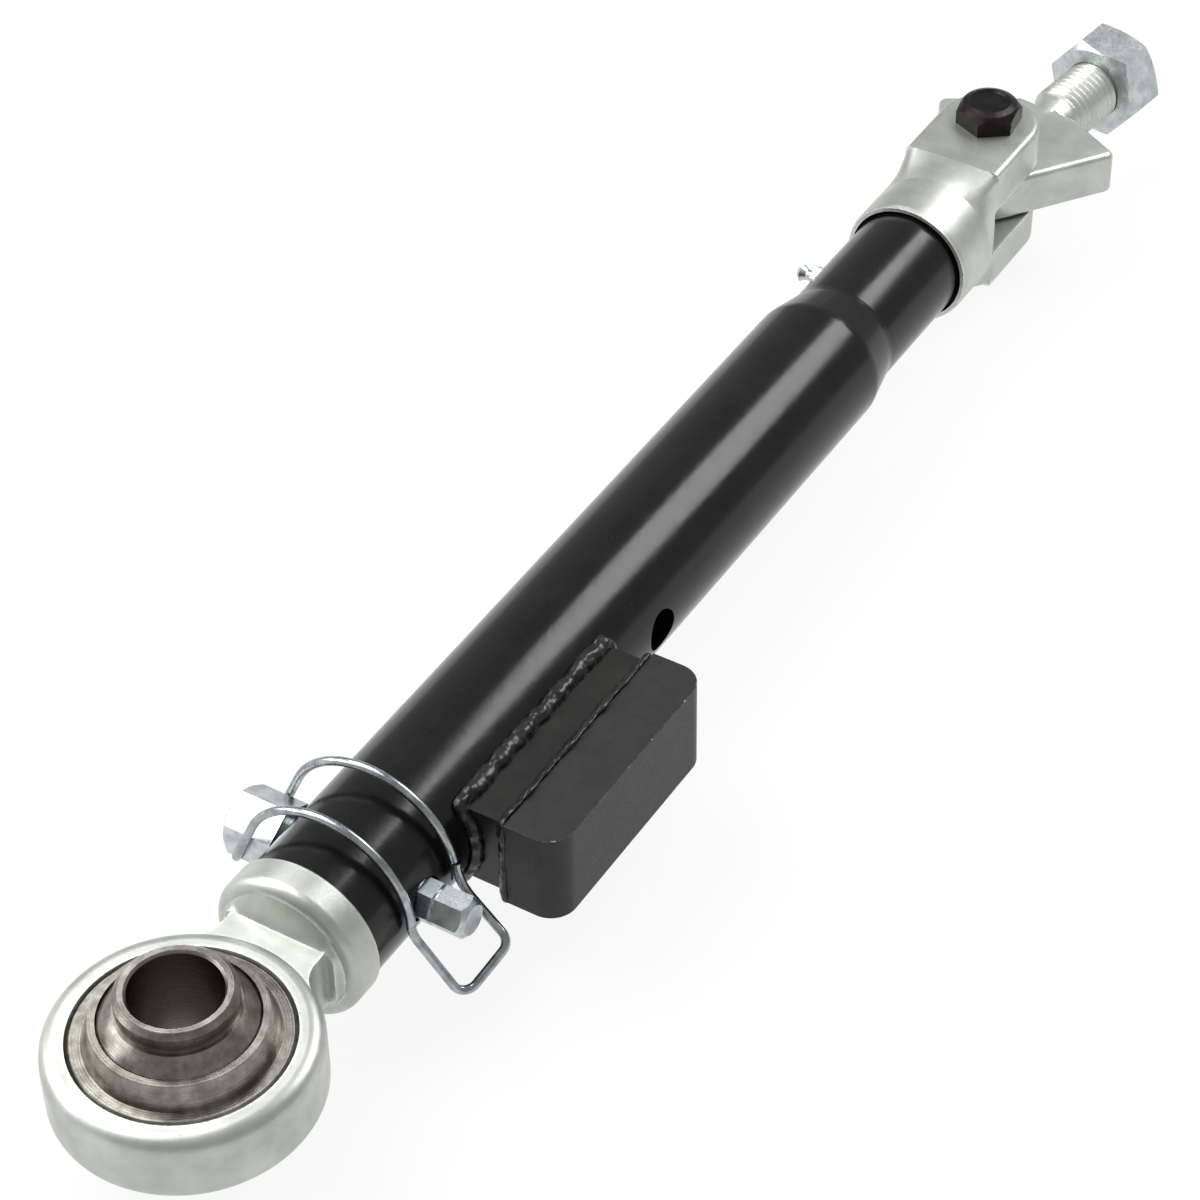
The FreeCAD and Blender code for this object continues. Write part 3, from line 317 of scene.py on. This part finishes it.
def lumpy_welds():
    """The weld beads laid by hand: uneven, with drops, under the tube's enamel."""
    piece = welded_copy("weld_beads", "hand_welds")
    modify(piece, "REMESH", mode="VOXEL", voxel_size=0.5 * MM)
    ripple = bpy.data.textures.new("weld_ripple", "CLOUDS")
    ripple.noise_scale = 5 * MM
    ripple.noise_depth = 2
    modify(piece, "DISPLACE", texture=ripple, texture_coords="LOCAL",
           strength=2.2 * MM, mid_level=0.5)
    modify(piece, "SMOOTH", factor=0.5, iterations=5)
    bpy.ops.object.shade_smooth()
    only_finish(piece, "weld_paint")
    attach(piece, "tube")
    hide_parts("weld_beads")


def moved(piece, matrix):
    """The piece's mesh taken through the matrix, with its object left at the origin."""
    select_only(piece)
    piece.matrix_world = matrix
    bpy.ops.object.transform_apply(location=True, rotation=True, scale=True)


def thread_groove():
    """A V-shaped groove wound about X, a little longer than the thread and proud of the stud."""
    turns = math.ceil((STUD_LENGTH - THREAD_START) / THREAD_PITCH) + 2
    start = THREAD_START - GROOVE_LEAD * THREAD_PITCH
    height = THREAD_DEPTH + GROOVE_PROUD
    middle = STUD_RADIUS + GROOVE_PROUD - height / 2
    bpy.ops.object.select_all(action="DESELECT")
    bpy.ops.mesh.primitive_plane_add(
        size=1, rotation=(math.pi / 2, 0, 0), location=(start, 0, middle))
    groove = bpy.context.object
    groove.scale = (GROOVE_MOUTH * THREAD_PITCH, height, 1)
    bpy.ops.object.transform_apply(location=True, rotation=True, scale=True)
    bpy.ops.object.mode_set(mode="EDIT")
    bpy.ops.mesh.delete(type="ONLY_FACE")
    bpy.ops.mesh.select_all(action="DESELECT")
    bpy.ops.object.mode_set(mode="OBJECT")
    for vertex in groove.data.vertices:
        vertex.select = vertex.co.z < middle
    bpy.ops.object.mode_set(mode="EDIT")
    bpy.ops.transform.resize(value=(GROOVE_ROOT, 1, 1), center_override=(start, 0, 0))
    bpy.ops.object.mode_set(mode="OBJECT")
    modify(groove, "SCREW", axis="X", angle=2 * math.pi, screw_offset=THREAD_PITCH,
           iterations=turns, steps=GROOVE_STEPS, render_steps=GROOVE_STEPS,
           use_merge_vertices=False)
    bpy.ops.object.mode_set(mode="EDIT")
    bpy.ops.mesh.select_all(action="SELECT")
    bpy.ops.mesh.fill_holes(sides=4)
    bpy.ops.mesh.select_all(action="SELECT")
    bpy.ops.mesh.remove_doubles(threshold=0.001 * MM)
    bpy.ops.mesh.normals_make_consistent(inside=False)
    bpy.ops.object.mode_set(mode="OBJECT")
    return groove


def threaded_stud():
    """The arm with the M24 thread cut into its stud."""
    arm = welded_copy("swing_arm", "threaded_arm")
    moved(arm, ARM_PLACE.inverted())
    groove = thread_groove()
    modify(arm, "BOOLEAN", operation="DIFFERENCE", solver="EXACT", object=groove)
    bpy.data.objects.remove(groove)
    moved(arm, ARM_PLACE)
    bpy.ops.object.shade_smooth_by_angle(angle=THREAD_SMOOTH_ANGLE)
    only_finish(arm, "forging_zinc")
    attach(arm, "arm")
    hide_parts("swing_arm")


# ---------- Floor, light and camera ----------
def backdrop():
    """A pale floor that the camera and the metal see as nearly white, and a white world."""
    seen_as_white, gap_under = 0.9, 0.5 * MM
    bpy.ops.object.select_all(action="DESELECT")
    bpy.ops.mesh.primitive_plane_add(
        size=12, location=(PART_MIDDLE.x, 0, LOWEST - gap_under))
    floor = bpy.context.object
    floor.name = "floor"
    material, tree, shader, _ = finish("pale_floor", "#e8e8e8", 0.9)
    path = add(tree, "LightPath").outputs
    seen = larger(tree, path["Is Camera Ray"], path["Is Glossy Ray"])
    seen = larger(tree, seen, path["Is Transmission Ray"])
    white = add(tree, "Emission", Color=linear("#ffffff"), Strength=1.0).outputs["Emission"]
    blend = add(tree, "MixShader", i0=times(tree, seen, seen_as_white),
                i1=shader.outputs["BSDF"], i2=white)
    tree.links.new(blend.outputs["Shader"], tree.nodes["Material Output"].inputs["Surface"])
    floor.data.materials.append(material)
    world = bpy.data.worlds.new("studio")
    bpy.context.scene.world = world
    world.use_nodes = True
    background = world.node_tree.nodes["Background"]
    background.inputs["Color"].default_value = linear("#ffffff")
    background.inputs["Strength"].default_value = 0.46


def softbox(name, place, target, width, height, watts):
    """A rectangular lamp at the place, turned to the target."""
    lamp = bpy.data.lights.new(name, "AREA")
    lamp.shape = "RECTANGLE"
    lamp.size = width
    lamp.size_y = height
    lamp.energy = watts
    box = bpy.data.objects.new(name, lamp)
    bpy.context.collection.objects.link(box)
    box.location = place
    box.rotation_euler = (Vector(target) - Vector(place)).to_track_quat("-Z", "Y").to_euler()


def photo_camera():
    """The camera at the photograph's place, matched on the tube, the ball's bore and the stud."""
    camera = bpy.data.objects.new("camera", bpy.data.cameras.new("camera"))
    bpy.context.collection.objects.link(camera)
    place = Vector((-0.510446, -0.466992, 0.793122))
    right = Vector((0.52141, -0.85319, -0.01386)).normalized()
    back = -Vector((0.62862, 0.39505, -0.66991)).normalized()
    turn = Matrix((right, back.cross(right), back)).transposed().to_4x4()
    camera.matrix_world = Matrix.Translation(place) @ turn
    camera.data.lens = 106.29
    camera.data.sensor_width = 36
    bpy.context.scene.camera = camera


lay_finishes()
lumpy_welds()
threaded_stud()

backdrop()
# The tube mirrors this side to the camera, along its top
MIRROR_SIDE = 1.1 * Vector((0.66, -0.27, 0.70))
softbox("tube_highlight", place=TUBE_MIDDLE + MIRROR_SIDE, target=TUBE_MIDDLE,
        width=0.5, height=0.5, watts=6.5)
softbox("overhead", place=(0.1, 0.7, 1.2), target=PART_MIDDLE,
        width=1.2, height=0.8, watts=17)
softbox("left_side", place=(-0.3, 0.9, 0.45), target=(0.1, 0, 0),
        width=0.8, height=0.5, watts=5)
photo_camera()

bpy.context.scene.view_settings.view_transform = "Standard"
